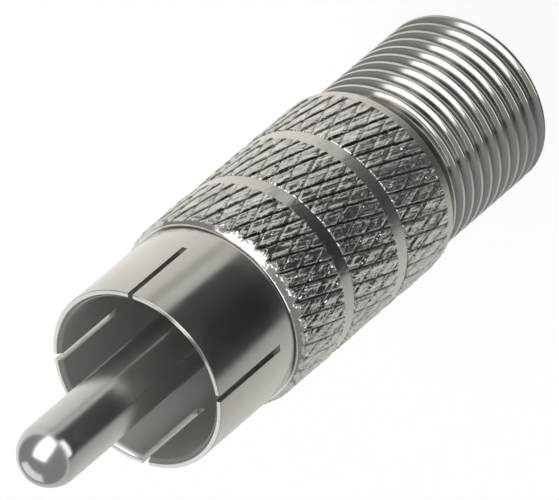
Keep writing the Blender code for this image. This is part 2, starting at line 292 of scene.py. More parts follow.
def vertex_places(mesh):
    """The arrays x, y and z of the vertices."""
    spots = np.empty(len(mesh.vertices) * 3, dtype=np.float32)
    mesh.vertices.foreach_get("co", spots)
    return spots.reshape(-1, 3).astype(float).T


def move_vertices(mesh, rule):
    """Replaces each vertex by what the rule makes of the arrays x, y and z."""
    moved = np.stack(rule(*vertex_places(mesh)), axis=1)
    mesh.vertices.foreach_set("co", moved.astype(np.float32).ravel())
    mesh.update()


def pick_level(mesh, height):
    """Selects the edges of a flat sheet that lie at one height."""
    set_mode("OBJECT")
    level = np.abs(vertex_places(mesh)[1] - height) < LEVEL
    ends = np.empty(len(mesh.edges) * 2, dtype=np.int32)
    mesh.edges.foreach_get("vertices", ends)
    mesh.vertices.foreach_set("select", level)
    mesh.edges.foreach_set("select", level[ends].reshape(-1, 2).all(axis=1))
    mesh.polygons.foreach_set("select", np.zeros(len(mesh.polygons), dtype=bool))
    set_mode("EDIT")


def extend(outline, reference):
    """Pulls the selected edges of a flat sheet through the points (radius, height) of an outline."""
    for radius, height in outline:
        bpy.ops.mesh.extrude_region_move()
        bpy.ops.transform.resize(value=(1.0, 0.0, 0.0), center_override=(0.0, height, radius - reference))


def cut(height, **clear):
    """Cuts the whole sheet at a height, and clears one side of it where that is asked for."""
    select_all()
    bpy.ops.mesh.bisect(
        plane_co=(0.0, height, 0.0), plane_no=(0.0, 1.0, 0.0), threshold=CUT_REACH, **clear
    )


def cut_blank(blank):
    """Trims a flat sheet to the first and last height of its blank, and adds an edge at the others."""
    bpy.ops.mesh.select_mode(type="EDGE")
    cut(blank[0, 0], clear_inner=True)
    cut(blank[-1, 0], clear_outer=True)
    for height in blank[1:-1, 0]:
        cut(height)


def repeat(piece, count, step):
    """Repeats the mesh with an array and welds the copies."""
    array = piece.modifiers.new("repeat", "ARRAY")
    array.count = count
    array.use_relative_offset = False
    array.use_constant_offset = True
    array.constant_offset_displace = step
    array.use_merge_vertices = True
    array.merge_threshold = MERGE
    bpy.ops.object.modifier_apply(modifier=array.name)


def roll_up(piece, radius, start):
    """Rolls a flat sheet round the axis: x runs round, y becomes the height, z the radius."""

    def rule(x, y, z):
        turn = start + x / radius
        reach = np.maximum(radius + z, 0.0)
        return reach * np.cos(turn), reach * np.sin(turn), y

    move_vertices(piece.data, rule)
    set_mode("EDIT")
    select_all()
    bpy.ops.mesh.remove_doubles(threshold=MERGE)
    bpy.ops.mesh.select_all(action="DESELECT")
    bpy.ops.mesh.select_mode(type="EDGE")
    bpy.ops.mesh.select_non_manifold(extend=False)
    bpy.ops.mesh.bridge_edge_loops()
    select_all()
    bpy.ops.mesh.normals_make_consistent(inside=False)
    set_mode("OBJECT")


def softened(outline, radius, steps=3):
    """Rounds the inner corners of an outline, by no more than the sides beside them allow."""
    points = [Vector(point) for point in outline]
    eased = [points[0]]
    for before, corner, after in zip(points, points[1:], points[2:]):
        back, ahead = before - corner, after - corner
        cut = min(radius, 0.4 * back.length, 0.4 * ahead.length)
        first = corner + back.normalized() * cut
        last = corner + ahead.normalized() * cut
        for step in range(steps + 1):
            share = step / steps
            near = first.lerp(corner, share)
            far = corner.lerp(last, share)
            eased.append(near.lerp(far, share))
    eased.append(points[-1])
    return [tuple(point) for point in eased]


def draw_line(name, points):
    """Starts a mesh with a line through the points, and leaves it in edit mode."""
    start_mesh()
    bpy.ops.mesh.primitive_plane_add(size=MERGE, enter_editmode=True)
    bpy.ops.mesh.select_mode(type="VERT")
    select_all()
    bpy.ops.mesh.merge(type="CENTER")
    bpy.ops.transform.translate(value=points[0])
    for before, after in zip(points, points[1:]):
        bpy.ops.mesh.extrude_region_move(TRANSFORM_OT_translate={"value": Vector(after) - Vector(before)})
    piece = bpy.context.object
    piece.name = name
    piece.data.name = name
    return piece


def turned(name, outline, sides):
    """Draws an outline of (radius, height) points and spins it round the axis."""
    piece = draw_line(name, [(radius, 0.0, height) for radius, height in outline])
    if outline[0][0] > 0.0:
        select_all()
        bpy.ops.mesh.edge_face_add()
        bpy.ops.mesh.delete(type="ONLY_FACE")
    select_all()
    bpy.ops.mesh.spin(steps=sides, angle=math.tau, center=(0, 0, 0), axis=(0, 0, 1), use_auto_merge=True)
    select_all()
    bpy.ops.mesh.remove_doubles(threshold=MERGE)
    bpy.ops.mesh.normals_make_consistent(inside=False)
    set_mode("OBJECT")
    return piece


def write_mask(mesh, name, values):
    """Writes one value for each vertex, for the materials to read."""
    layer = mesh.attributes.new(name, "FLOAT", "POINT")
    layer.data.foreach_set("value", values.astype(np.float32))


def mark_body(mesh):
    """Writes where the body is knurled and where it is bored."""
    knurl = settings().knurl
    x, y, z = vertex_places(mesh)
    reach = np.hypot(x, y)
    knurled = np.zeros(len(z))
    for foot, top in body_bands():
        knurled[(z > foot) & (z < top) & (reach > knurl.shell_diameter / 2)] = 1.0
    write_mask(mesh, "knurled", knurled)
    write_mask(mesh, "bored", (reach < knurl.shell_diameter / 2 - knurl.shell_wall + 0.00005).astype(float))


def mark_thread(mesh):
    """Writes how deep each vertex of the barrel's outside lies in the thread or the relief, as the mask of
    the painted shade in the thread's roots.
    """
    thread = settings().thread
    x, y, _ = vertex_places(mesh)
    sunk = (thread.crest_diameter / 2 - np.hypot(x, y)) / thread.depth
    write_mask(mesh, "hollow", ramp(sunk, 0.62, 1.0) * (sunk < 1.5))


def map_tracks(mesh, rule):
    """Writes a UV map of the flat sheet, from a rule that turns x and y into the two coordinates."""
    ends = np.empty(len(mesh.loops), dtype=np.int32)
    mesh.loops.foreach_get("vertex_index", ends)
    x, y, _ = vertex_places(mesh)
    layer = mesh.uv_layers.new(name="tracks")
    layer.data.foreach_set("uv", np.stack(rule(x[ends], y[ends]), axis=1).astype(np.float32).ravel())


def saw(piece, width, reach, foot, top, turn):
    """Cuts a slot through one wall with a thin blade, from the axis out and from foot to top."""
    start_mesh()
    bpy.ops.mesh.primitive_cube_add(
        size=1.0,
        location=(reach / 2 * math.cos(turn), reach / 2 * math.sin(turn), (foot + top) / 2),
        rotation=(0.0, 0.0, turn),
        scale=(reach, width, top - foot),
    )
    blade = bpy.context.object
    bpy.ops.object.transform_apply(location=True, rotation=True, scale=True)
    make_active(piece)
    sawn = piece.modifiers.new("saw", "BOOLEAN")
    sawn.operation = "DIFFERENCE"
    sawn.solver = "EXACT"
    sawn.object = blade
    bpy.ops.object.modifier_apply(modifier=sawn.name)
    bpy.data.objects.remove(blade)


def complete(piece, material, node):
    """Shades a finished piece and puts it in the place of its solid."""
    make_active(piece)
    bpy.ops.object.shade_smooth_by_angle(angle=SHARP)
    piece.data.materials.clear()
    piece.data.materials.append(bpy.data.materials[material])
    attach(piece, "root")
    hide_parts(node)


def scatter(first, second):
    """A number from 0 to 1 for each pair of whole numbers, always the same."""
    value = np.sin(first * 12.9898 + second * 78.233) * 43758.5453
    return value - np.floor(value)


def ripple(right, right_count, left, left_count, starts):
    """Smooth noise from 0 to 1 that closes on itself, with so many steps to a track of each hand."""
    u, v = right * right_count, left * left_count
    column, row = np.floor(u), np.floor(v)
    u, v = u - column, v - row
    u, v = u * u * (3 - 2 * u), v * v * (3 - 2 * v)
    columns = [(column + step) % (starts * right_count) for step in (0, 1)]
    rows = [(row + step) % (starts * left_count) for step in (0, 1)]
    near = scatter(columns[0], rows[0]) * (1 - u) + scatter(columns[1], rows[0]) * u
    far = scatter(columns[0], rows[1]) * (1 - u) + scatter(columns[1], rows[1]) * u
    return near * (1 - v) + far * v


def ramp(value, low, high):
    share = np.clip((value - low) / (high - low), 0.0, 1.0)
    return share * share * (3 - 2 * share)


def body_bands():
    """Foot and top of each knurled band."""
    knurl = settings().knurl
    foot = body_low.z + knurl.lip_width
    bands = []
    for width in (knurl.rear_band, knurl.middle_band, knurl.front_band):
        bands.append((foot, foot + width))
        foot += width + knurl.groove_width
    return bands


def body_blank():
    """Heights and radii of the turned blank, from the lip to the foot of the shell."""
    knurl = settings().knurl
    crest = knurl.crest_diameter / 2
    plain = knurl.plain_diameter / 2
    nose = knurl.nose_diameter / 2
    root = knurl.shell_diameter / 2 - knurl.root_groove
    width = knurl.band_bevel
    edge = [(0.0, 0.82), (0.3, 0.45), (0.65, 0.16), (1.0, 0.0)]
    lip = [(0.0, 0.85), (0.22, 0.45), (0.6, 0.12), (1.0, 0.0)]
    points = [(body_low.z + knurl.lip_round * share, plain - knurl.lip_round * drop) for share, drop in lip]
    for foot, top in body_bands():
        points.append((foot - WALL_RUN, plain))
        points += [(foot + WALL_RUN + share * width, crest - drop * width) for share, drop in edge]
        if top < body_bands()[-1][1]:
            for share, drop in reversed(edge):
                points.append((top - WALL_RUN - share * width, crest - drop * width))
            points.append((top + WALL_RUN, plain))
    nose_top = top + knurl.nose_length
    points += [
        (top + NOSE_EDGE, crest),
        (nose_top - NOSE_SLOPE_END, nose + NOSE_SWELLING),
        (nose_top - NOSE_LAND, nose),
        (nose_top - WALL_RUN, nose - NOSE_STEP),
        (nose_top + WALL_RUN, root),
        (nose_top + knurl.root_groove, root),
    ]
    return np.array(points)


def model_body():
    """The knurled body: a helical strip of diamonds, with shell and bores pulled out of its ends."""
    knurl = settings().knurl
    crest = knurl.crest_diameter / 2
    across = math.pi * crest / knurl.starts
    along = across / math.tan(knurl.helix)
    blank = body_blank()
    foot, top = blank[0, 0], blank[-1, 0]
    right_marks = np.array([0.0, 0.08, 0.19, 0.34, 0.5, 0.66, 0.81, 0.92])
    left_marks = np.array([0.0, 0.06, 0.14, 0.28, 0.44, 0.62, 0.8, 0.9])
    cells = len(left_marks)
    rows = math.ceil((top - foot) / along) + 2
    first = math.floor((CROSSING - top) / along) - 1

    start_mesh()
    bpy.ops.mesh.primitive_grid_add(x_subdivisions=cells, y_subdivisions=cells * (rows + 1), size=1.0)
    body = bpy.context.object
    body.name = "knurled_body_finish"

    def phase(count, marks):
        count = np.round(count).astype(int)
        return count // cells + marks[count % cells]

    def lay_strip(x, y, z):
        right = phase((x + 0.5) * cells, right_marks)
        left = phase((y + 0.5) * cells * (rows + 1), left_marks) + first
        return (right + left) * across, CROSSING + (right - left) * along, z

    move_vertices(body.data, lay_strip)
    set_mode("EDIT")
    cut_blank(blank)

    shell = knurl.shell_diameter / 2
    inside = shell - knurl.shell_wall
    rim = body_high.z
    bush = (bush_high.x - bush_low.x) / 2 + settings().inner.clearance
    rear = settings().thread.spigot_diameter / 2 + settings().inner.clearance
    floor_height = bush_high.z
    web_top = bush_low.z - settings().inner.clearance
    web_foot = web_top - knurl.web
    seam = (web_foot + foot) / 2
    round_edge = knurl.edge_round
    front = [
        (shell - knurl.root_groove, top),
        (shell, top + WALL_RUN),
        (shell, rim),
        (inside + knurl.rim_bevel, rim),
        (inside, rim - knurl.rim_bevel),
        (inside, floor_height),
        (bush, floor_height),
        (bush, web_top),
        (knurl.web_hole / 2, web_top),
        (knurl.web_hole / 2, web_foot),
        (rear, web_foot),
        (rear, seam + SEAM_GAP),
    ]
    pick_level(body.data, top)
    extend(softened(front, round_edge)[1:], crest)
    pick_level(body.data, foot)
    extend([(rear, foot), (rear, seam - SEAM_GAP)], crest)
    set_mode("OBJECT")

    repeat(body, knurl.starts, (2 * across, 0.0, 0.0))

    def phases(x, y):
        round_share, rise_share = x / across / 2, (y - CROSSING) / along / 2
        return round_share + rise_share, round_share - rise_share

    def cut_knurl(x, y, z):
        right, left = phases(x, y)
        column, row = np.floor(right + 1e-4), np.floor(left + 1e-4)
        deep = knurl.deep_cut * (0.85 + 0.15 * scatter(np.round(left) % knurl.starts, 3.0))
        shallow = 0.4 + 0.6 * scatter(np.round(right) % knurl.starts, row % knurl.starts)
        depth = np.maximum(
            deep * np.interp(left - row, *DEEP_CUT),
            knurl.shallow_cut * shallow * np.interp(right - column, *SHALLOW_CUT),
        )
        to_right = np.abs(right - np.round(right))
        to_left = np.abs(left - np.round(left))
        hollow = knurl.dimple * (0.2 + 0.8 * scatter(column % knurl.starts, row % knurl.starts))
        hollow *= ramp(to_right, 0.1, 0.33) * ramp(to_left, 0.1, 0.33)
        long_streaks = ripple(right, 1, left, 4, knurl.starts)
        cross_streaks = ripple(right, 4, left, 2, knurl.starts)
        cross_streaks *= ripple(right + 0.5, 1, left, 1, knurl.starts)
        depth += knurl.long_streaks * long_streaks + knurl.cross_streaks * cross_streaks
        radius = np.maximum(crest - depth - hollow, crest - 1.1 * knurl.deep_cut)
        turned_radius = np.interp(y, blank[:, 0], blank[:, 1])
        outer = (y > foot - LEVEL) & (y < top + LEVEL) & (z > -MERGE)
        return x, y, np.where(outer, np.minimum(radius, turned_radius) - crest, z)

    move_vertices(body.data, cut_knurl)
    map_tracks(body.data, phases)
    x, y, _ = vertex_places(body.data)
    right, left = phases(x, y)
    # Painted shade along the bottoms of both grooves, kept in the mask hollow
    deep_shade = np.interp(left - np.floor(left), *DEEP_GROOVE_SHADE)
    cross_shade = np.interp(right - np.floor(right), *SHALLOW_GROOVE_SHADE)
    write_mask(body.data, "hollow", np.maximum(deep_shade, cross_shade))
    roll_up(body, crest, KNURL_START)
    for turn, width, reach in zip(knurl.slot_turns, knurl.slot_widths, knurl.slot_lengths):
        saw(body, width, 2 * crest, rim - reach, rim + 0.001, turn - math.pi / 2)
    return body


def thread_outline():
    """One pitch of the thread as (height, radius) points, with a rounded crest and root."""
    thread = settings().thread
    root = thread.crest_diameter / 2 - thread.depth
    half = [(0.0, 0.0), (0.05, 0.0), (0.08, 0.04), (0.12, 0.14)]
    half += [(0.30, 0.79), (0.34, 0.9), (0.38, 0.97), (0.43, 1.0)]
    shares = half + [(1.0 - share, rise) for share, rise in reversed(half)]
    return [(share * thread.pitch, root + rise * thread.depth) for share, rise in shares]


def model_barrel():
    """The threaded barrel: one pitch of thread, repeated up the sheet and then round it."""
    thread = settings().thread
    crest = thread.crest_diameter / 2
    relief = crest - thread.relief_depth
    end = thread.thread_length
    low = barrel_low.z
    turns = math.ceil(end / thread.pitch) + 3

    start = low - 2 * thread.pitch
    line = [(0.0, start + rise, radius - crest) for rise, radius in thread_outline()]
    barrel = draw_line("f_barrel_finish", line)
    set_mode("OBJECT")
    repeat(barrel, turns, (0.0, thread.pitch, 0.0))
    side = (math.tau * crest / thread.sides, thread.pitch / thread.sides, 0.0)
    set_mode("EDIT")
    select_all()
    bpy.ops.mesh.extrude_region_move(TRANSFORM_OT_translate={"value": side})
    set_mode("OBJECT")
    repeat(barrel, thread.sides, side)

    blank = np.array(
        [
            (low, crest - thread.lead_in),
            (low + thread.lead_in, crest),
            (end - WALL_RUN - RELIEF_RUN, crest),
            (end + WALL_RUN, relief),
            (end + RELIEF_RUN, relief),
        ]
    )
    top = blank[-1, 0]
    set_mode("EDIT")
    cut_blank(blank)
    set_mode("OBJECT")

    def turn_ends(x, y, z):
        turned_radius = np.interp(y, blank[:, 0], blank[:, 1])
        return x, y, np.minimum(z, turned_radius - crest)

    move_vertices(barrel.data, turn_ends)
    body_foot = body_low.z - settings().inner.clearance
    spigot = thread.spigot_diameter / 2
    bore = thread.bore / 2
    seam = barrel_high.z - SPIGOT_SEAM
    back = [
        (relief, top),
        (relief, body_foot),
        (spigot, body_foot),
        (spigot, barrel_high.z - SPIGOT_BEVEL),
        (spigot - SPIGOT_BEVEL, barrel_high.z),
        (bore, barrel_high.z),
        (bore, seam + SEAM_GAP),
    ]
    pick_level(barrel.data, top)
    extend(back[1:], crest)
    front = [
        (crest - thread.lead_in, low),
        (bore + thread.mouth_bevel, low),
        (bore, low + thread.mouth_bevel),
        (bore, thread.web_foot),
        (thread.web_hole / 2, thread.web_foot),
        (thread.web_hole / 2, thread.web_foot + thread.web),
        (bore, thread.web_foot + thread.web),
        (bore, seam - SEAM_GAP),
    ]
    pick_level(barrel.data, low)
    extend(softened(front, BARREL_ROUND)[1:], crest)
    set_mode("OBJECT")
    roll_up(barrel, crest, math.radians(-90))
    return barrel


def arc(centre_height, radius, start, stop, steps):
    """Points of an arc round a centre on the axis."""
    points = []
    for step in range(steps + 1):
        angle = start + (stop - start) * step / steps
        points.append((radius * math.cos(angle), centre_height + radius * math.sin(angle)))
    return points


def model_pin():
    """The plug's pin, with a ball nose, a shank through its insulator and a drilled tail."""
    inner = settings().inner
    radius = inner.pin_diameter / 2
    shoulder = bush_high.z + inner.clearance
    tail = [
        (0.0, pin_low.z + inner.pin_bore_depth),
        (inner.pin_bore / 2, pin_low.z + inner.pin_bore_depth),
        (inner.pin_bore / 2, pin_low.z),
        (inner.pin_shank / 2, pin_low.z),
        (inner.pin_shank / 2, shoulder),
        (radius, shoulder),
        (radius, shoulder + radius),
    ]
    ball = arc(pin_high.z - radius, radius, 0.0, math.pi / 2, PIN_BALL_STEPS)
    outline = softened(tail, PIN_ROUND) + ball[:-1] + [(0.0, pin_high.z)]
    return turned("plug_pin_finish", outline, inner.sides)


def model_plug_insulator():
    """The dark bush that holds the pin."""
    inner = settings().inner
    outer = (bush_high.x - bush_low.x) / 2
    hole = inner.pin_shank / 2 + inner.clearance
    outline = [
        (hole, bush_low.z),
        (outer, bush_low.z),
        (outer, bush_high.z),
        (hole, bush_high.z),
        (hole, (bush_low.z + bush_high.z) / 2),
    ]
    return turned("plug_insulator_finish", softened(outline, BUSH_ROUND), inner.sides)


def model_socket_insulator():
    """The socket's insulator, with the funnel and the hole that the cable's conductor enters."""
    inner = settings().inner
    outer = (dielectric_high.x - dielectric_low.x) / 2
    face = dielectric_low.z
    ledge = contact_low.z - inner.clearance
    outline = [
        (inner.entry_hole / 2, ledge),
        (inner.entry_hole / 2, face + FUNNEL_DEPTH),
        (inner.entry_funnel / 2, face),
        (outer, face),
        (outer, dielectric_high.z),
        (CONTACT_HOLE, dielectric_high.z),
        (CONTACT_HOLE, ledge),
        (inner.entry_hole / 2 + FACE_SEAM, ledge),
    ]
    return turned("f_insulator_finish", softened(outline, DIELECTRIC_ROUND), inner.sides)


def new_material(name):
    """Makes a material and hands over its node tree and its shader."""
    material = bpy.data.materials.new(name)
    material.use_nodes = True
    return material.node_tree, material.node_tree.nodes["Principled BSDF"]


def new_group(name, numbers, outputs):
    """A shader node group that reads a vector and named numbers, with its inputs and its results."""
    group = bpy.data.node_groups.new(name, "ShaderNodeTree")
    group.interface.new_socket(name="Vector", in_out="INPUT", socket_type="NodeSocketVector")
    for label, default in numbers.items():
        socket = group.interface.new_socket(name=label, in_out="INPUT", socket_type="NodeSocketFloat")
        socket.default_value = default
    for label in outputs:
        group.interface.new_socket(name=label, in_out="OUTPUT", socket_type="NodeSocketFloat")
    return group, group.nodes.new("NodeGroupInput").outputs, group.nodes.new("NodeGroupOutput").inputs


def feed(tree, socket, value):
    """Links a socket to another, or gives it a plain value."""
    if isinstance(value, bpy.types.NodeSocket):
        tree.links.new(value, socket)
    else:
        socket.default_value = value


def math_node(tree, operation, *values, clamp=False):
    """A Math node whose inputs are sockets or plain numbers."""
    node = tree.nodes.new("ShaderNodeMath")
    node.operation = operation
    node.use_clamp = clamp
    for socket, value in zip(node.inputs, values):
        feed(tree, socket, value)
    return node.outputs[0]


def plus(tree, first, second, clamp=False):
    return math_node(tree, "ADD", first, second, clamp=clamp)


def times(tree, first, second):
    return math_node(tree, "MULTIPLY", first, second)


def noise(tree, vector, scale, detail=2.0, roughness=0.5):
    node = tree.nodes.new("ShaderNodeTexNoise")
    for name, value in (("Vector", vector), ("Scale", scale), ("Detail", detail), ("Roughness", roughness)):
        feed(tree, node.inputs[name], value)
    return node.outputs["Fac"]


def stretched(tree, vector, scale):
    node = tree.nodes.new("ShaderNodeMapping")
    node.inputs["Scale"].default_value = scale
    tree.links.new(vector, node.inputs["Vector"])
    return node.outputs["Vector"]


def ranged(tree, value, source=(0.0, 1.0), target=(0.0, 1.0)):
    """The value, spread from one range over another."""
    node = tree.nodes.new("ShaderNodeMapRange")
    for name, level in zip(("From Min", "From Max", "To Min", "To Max"), (*source, *target)):
        node.inputs[name].default_value = level
    tree.links.new(value, node.inputs["Value"])
    return node.outputs["Result"]


def blended(tree, share, first, second):
    """A share of the way from one colour to another. Either is plain or a socket."""
    node = tree.nodes.new("ShaderNodeMix")
    node.data_type = "RGBA"
    tree.links.new(share, node.inputs["Factor"])
    for name, tone in (("A", first), ("B", second)):
        feed(tree, node.inputs[name], tone if isinstance(tone, bpy.types.NodeSocket) else (*tone, 1.0))
    return node.outputs["Result"]


def placed(tree, name, vector):
    """Adds one of the shared effects to a material, fed with a place or a track."""
    node = tree.nodes.new("ShaderNodeGroup")
    node.node_tree = bpy.data.node_groups[name]
    tree.links.new(vector, node.inputs["Vector"])
    return node


def attribute(tree, name):
    node = tree.nodes.new("ShaderNodeAttribute")
    node.attribute_name = name
    return node.outputs["Fac"]


def object_place(tree):
    return tree.nodes.new("ShaderNodeTexCoord").outputs["Object"]


def lathe_marks_group():
    """Fine rings left by the turning tool: height in metres, from the distance along the axis."""
    group, given, result = new_group("lathe marks", {"Rings": 9000.0, "Depth": 4e-7}, ["Height"])
    along = stretched(group, given["Vector"], (0.02, 0.02, 1.0))
    rings = noise(group, along, given["Rings"], 3.0, 0.65)
    group.links.new(times(group, rings, given["Depth"]), result["Height"])


def handling_group():
    """Smudges, a mask from 0 to 1 that changes slowly, and finer specks."""
    numbers = {"Smudge scale": 350.0, "Speck scale": 4000.0}
    group, given, result = new_group("handling", numbers, ["Smudges", "Specks"])
    smudges = noise(group, given["Vector"], given["Smudge scale"], 4.0, 0.6)
    specks = noise(group, given["Vector"], given["Speck scale"], 1.0)
    group.links.new(ranged(group, smudges, (0.35, 0.7)), result["Smudges"])
    group.links.new(specks, result["Specks"])


def knurl_streaks_group():
    """Scuffed streaks and burrs of the knurling: height in metres and a mask that darkens along the
    streaks, from the tracks.
    """
    numbers = {"Long depth": 1.1e-4, "Cross depth": 9e-5}
    group, given, result = new_group("knurl streaks", numbers, ["Height", "Grime"])
    tracks = given["Vector"]
    long_streaks = noise(group, stretched(group, tracks, (0.5, 3.4, 1.0)), 1.0, 1.0)
    cross_streaks = noise(group, stretched(group, tracks, (3.8, 1.2, 1.0)), 1.0, 1.0)
    patches = noise(group, tracks, 1.1, 2.0, 0.6)
    cross = times(group, times(group, cross_streaks, given["Cross depth"]), patches)
    burrs = ranged(group, noise(group, tracks, 2.6, 1.0), (0.64, 0.74))
    height = plus(group, times(group, long_streaks, given["Long depth"]), times(group, burrs, BURR_HEIGHT))
    group.links.new(plus(group, height, cross), result["Height"])
    # Darker where the long streaks and the patches run high
    streak_mix = times(group, plus(group, long_streaks, patches), 0.5)
    group.links.new(ranged(group, streak_mix, (0.42, 0.6)), result["Grime"])


def plated(name, base, roughness, spread, ring_depth, speck_depth, knurled=False, root_shade=0.0):
    """Nickel plating: lathe marks and specks in its height, smudges in its roughness and colour, and
    painted shade in the hollows of the knurl or the thread.
    """
    tree, shader = new_material(name)
    shader.inputs["Metallic"].default_value = 1.0
    place = object_place(tree)
    handling = placed(tree, "handling", place)
    marks = placed(tree, "lathe marks", place)
    marks.inputs["Depth"].default_value = ring_depth
    rough = ranged(tree, handling.outputs["Smudges"], target=(roughness - spread, roughness + spread))
    dirt_and_shade = times(tree, handling.outputs["Smudges"], 0.06)
    height = plus(tree, marks.outputs["Height"], times(tree, handling.outputs["Specks"], speck_depth))
    if knurled:
        pressed, bored = attribute(tree, "knurled"), attribute(tree, "bored")
        tracks = tree.nodes.new("ShaderNodeUVMap")
        tracks.uv_map = "tracks"
        streaks = placed(tree, "knurl streaks", tracks.outputs["UV"])
        pits = times(tree, handling.outputs["Specks"], PIT_DEPTH)
        height = plus(tree, height, times(tree, plus(tree, streaks.outputs["Height"], pits), pressed))
        # Darker and rougher along the knurl's streaks
        streak_darkening = times(tree, streaks.outputs["Grime"], pressed)
        dirt_and_shade = plus(tree, dirt_and_shade, times(tree, streak_darkening, 0.25))
        # Painted shade in the knurl's grooves, from the mask hollow
        dirt_and_shade = plus(tree, dirt_and_shade, times(tree, attribute(tree, "hollow"), pressed), clamp=True)
        rough = plus(tree, rough, times(tree, streak_darkening, 0.08))
        rough = plus(tree, rough, times(tree, bored, 0.45))
        around = tree.nodes.new("ShaderNodeTangent")
        tree.links.new(around.outputs["Tangent"], shader.inputs["Tangent"])
        tree.links.new(times(tree, bored, 0.85), shader.inputs["Anisotropic"])
        shader.inputs["Anisotropic Rotation"].default_value = 0.25
        # The knurl takes the lighter copy of the nickel, painted light
        base = blended(tree, pressed, base, settings().colours.lit_knurl_nickel)
    # Painted shade in the roots of the thread and in the relief
    if root_shade:
        dirt_and_shade = plus(tree, dirt_and_shade, times(tree, attribute(tree, "hollow"), root_shade), clamp=True)
    bump = tree.nodes.new("ShaderNodeBump")
    bump.inputs["Distance"].default_value = 1.0
    bump.inputs["Strength"].default_value = 1.0
    tree.links.new(height, bump.inputs["Height"])
    tree.links.new(bump.outputs["Normal"], shader.inputs["Normal"])
    # Darkened towards the dark tone by smudges and streaks, and by painted shade in the hollows
    tree.links.new(blended(tree, dirt_and_shade, base, settings().colours.smudge_and_shade_colour), shader.inputs["Base Color"])
    tree.links.new(rough, shader.inputs["Roughness"])


def moulded(name, base, roughness, mottle):
    """A moulded or turned plastic, with a slight mottle in its colour and gloss."""
    tree, shader = new_material(name)
    handling = placed(tree, "handling", object_place(tree))
    mottled = [channel * (1 - mottle) for channel in base]
    tree.links.new(blended(tree, handling.outputs["Specks"], base, mottled), shader.inputs["Base Color"])
    rough = ranged(tree, handling.outputs["Smudges"], target=(roughness - 0.08, roughness + 0.08))
    tree.links.new(rough, shader.inputs["Roughness"])


class ADAPTER_OT_finishes(Operator):
    """Makes the shared effects and the materials"""

    bl_idname = "adapter.finishes"
    bl_label = "Finishes"

    def execute(self, context):
        colours = settings().colours
        lathe_marks_group()
        handling_group()
        knurl_streaks_group()
        plated("knurled_nickel", colours.nickel, 0.17, 0.04, 5e-7, 1.2e-6, knurled=True)
        plated("barrel_nickel", colours.nickel, 0.15, 0.04, 4e-7, 6e-7, root_shade=0.65)
        plated("pin_nickel", colours.pin_nickel, 0.23, 0.03, 5e-7, 1e-6)
        plated("contact_bronze", colours.bronze, 0.28, 0.05, 4e-7, 6e-7)
        moulded("natural_plastic", colours.natural, 0.42, 0.08)
        moulded("dark_plastic", colours.dark, 0.38, 0.3)
        return {"FINISHED"}


class ADAPTER_OT_body(Operator):
    """Models the knurled body with the plug's split shell"""

    bl_idname = "adapter.body"
    bl_label = "Knurled body"

    def execute(self, context):
        body = model_body()
        mark_body(body.data)
        complete(body, "knurled_nickel", "knurled_body")
        return {"FINISHED"}


class ADAPTER_OT_barrel(Operator):
    """Models the threaded barrel of the F socket"""

    bl_idname = "adapter.barrel"
    bl_label = "Threaded barrel"

    def execute(self, context):
        barrel = model_barrel()
        mark_thread(barrel.data)
        complete(barrel, "barrel_nickel", "f_barrel")
        return {"FINISHED"}


class ADAPTER_OT_pin(Operator):
    """Models the plug's ball-nosed pin"""

    bl_idname = "adapter.pin"
    bl_label = "Pin"

    def execute(self, context):
        complete(model_pin(), "pin_nickel", "plug_pin")
        return {"FINISHED"}


class ADAPTER_OT_insulators(Operator):
    """Models the insulators and finishes the inner pieces that keep their solids"""

    bl_idname = "adapter.insulators"
    bl_label = "Insulators and contact"

    def execute(self, context):
        complete(model_plug_insulator(), "dark_plastic", "plug_insulator")
        complete(model_socket_insulator(), "natural_plastic", "f_insulator")
        for node, material in (("core_insulator", "natural_plastic"), ("f_contact", "contact_bronze")):
            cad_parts[node].material_slots[0].material = bpy.data.materials[material]
        return {"FINISHED"}


def softbox(name, place, aim, upward, width, height, radiance):
    """A rectangular soft lamp that faces its aim, with a given brightness of its face."""
    data = bpy.data.lights.new(name, "AREA")
    data.shape = "RECTANGLE"
    data.size = width
    data.size_y = height
    data.energy = radiance * math.pi * width * height
    lamp = bpy.data.objects.new(name, data)
    bpy.context.scene.collection.objects.link(lamp)
    back = (Vector(place) - Vector(aim)).normalized()
    right = Vector(upward).cross(back).normalized()
    turn = Matrix((right, back.cross(right), back)).transposed()
    lamp.matrix_world = Matrix.Translation(place) @ turn.to_4x4()


def background_rays(tree, glossy_share):
    """Shows camera and transmission rays the white background fully, and glossy ones a share of it."""
    path = tree.nodes.new("ShaderNodeLightPath")
    camera, through = path.outputs["Is Camera Ray"], path.outputs["Is Transmission Ray"]
    mirrored = times(tree, path.outputs["Is Glossy Ray"], glossy_share)
    return math_node(tree, "MAXIMUM", math_node(tree, "MAXIMUM", camera, through), mirrored)


def add_floor():
    """The pale floor. The camera sees it as nearly white, with the adapter's shadow on it."""
    studio = settings().studio
    start_mesh()
    bpy.ops.mesh.primitive_plane_add(size=studio.floor_size)
    floor = bpy.context.object
    floor.name = "floor"
    tree, shader = new_material("floor_paper")
    shader.inputs["Base Color"].default_value = (*studio.floor_colour, 1.0)
    shader.inputs["Roughness"].default_value = 0.9
    shader.inputs["Specular IOR Level"].default_value = 0.0
    glow = tree.nodes.new("ShaderNodeEmission")
    mix = tree.nodes.new("ShaderNodeMixShader")
    share = times(tree, background_rays(tree, 1.0), studio.floor_glow)
    for socket, value in zip(mix.inputs, (share, shader.outputs["BSDF"], glow.outputs["Emission"])):
        tree.links.new(value, socket)
    tree.links.new(mix.outputs["Shader"], tree.nodes["Material Output"].inputs["Surface"])
    floor.data.materials.append(bpy.data.materials["floor_paper"])


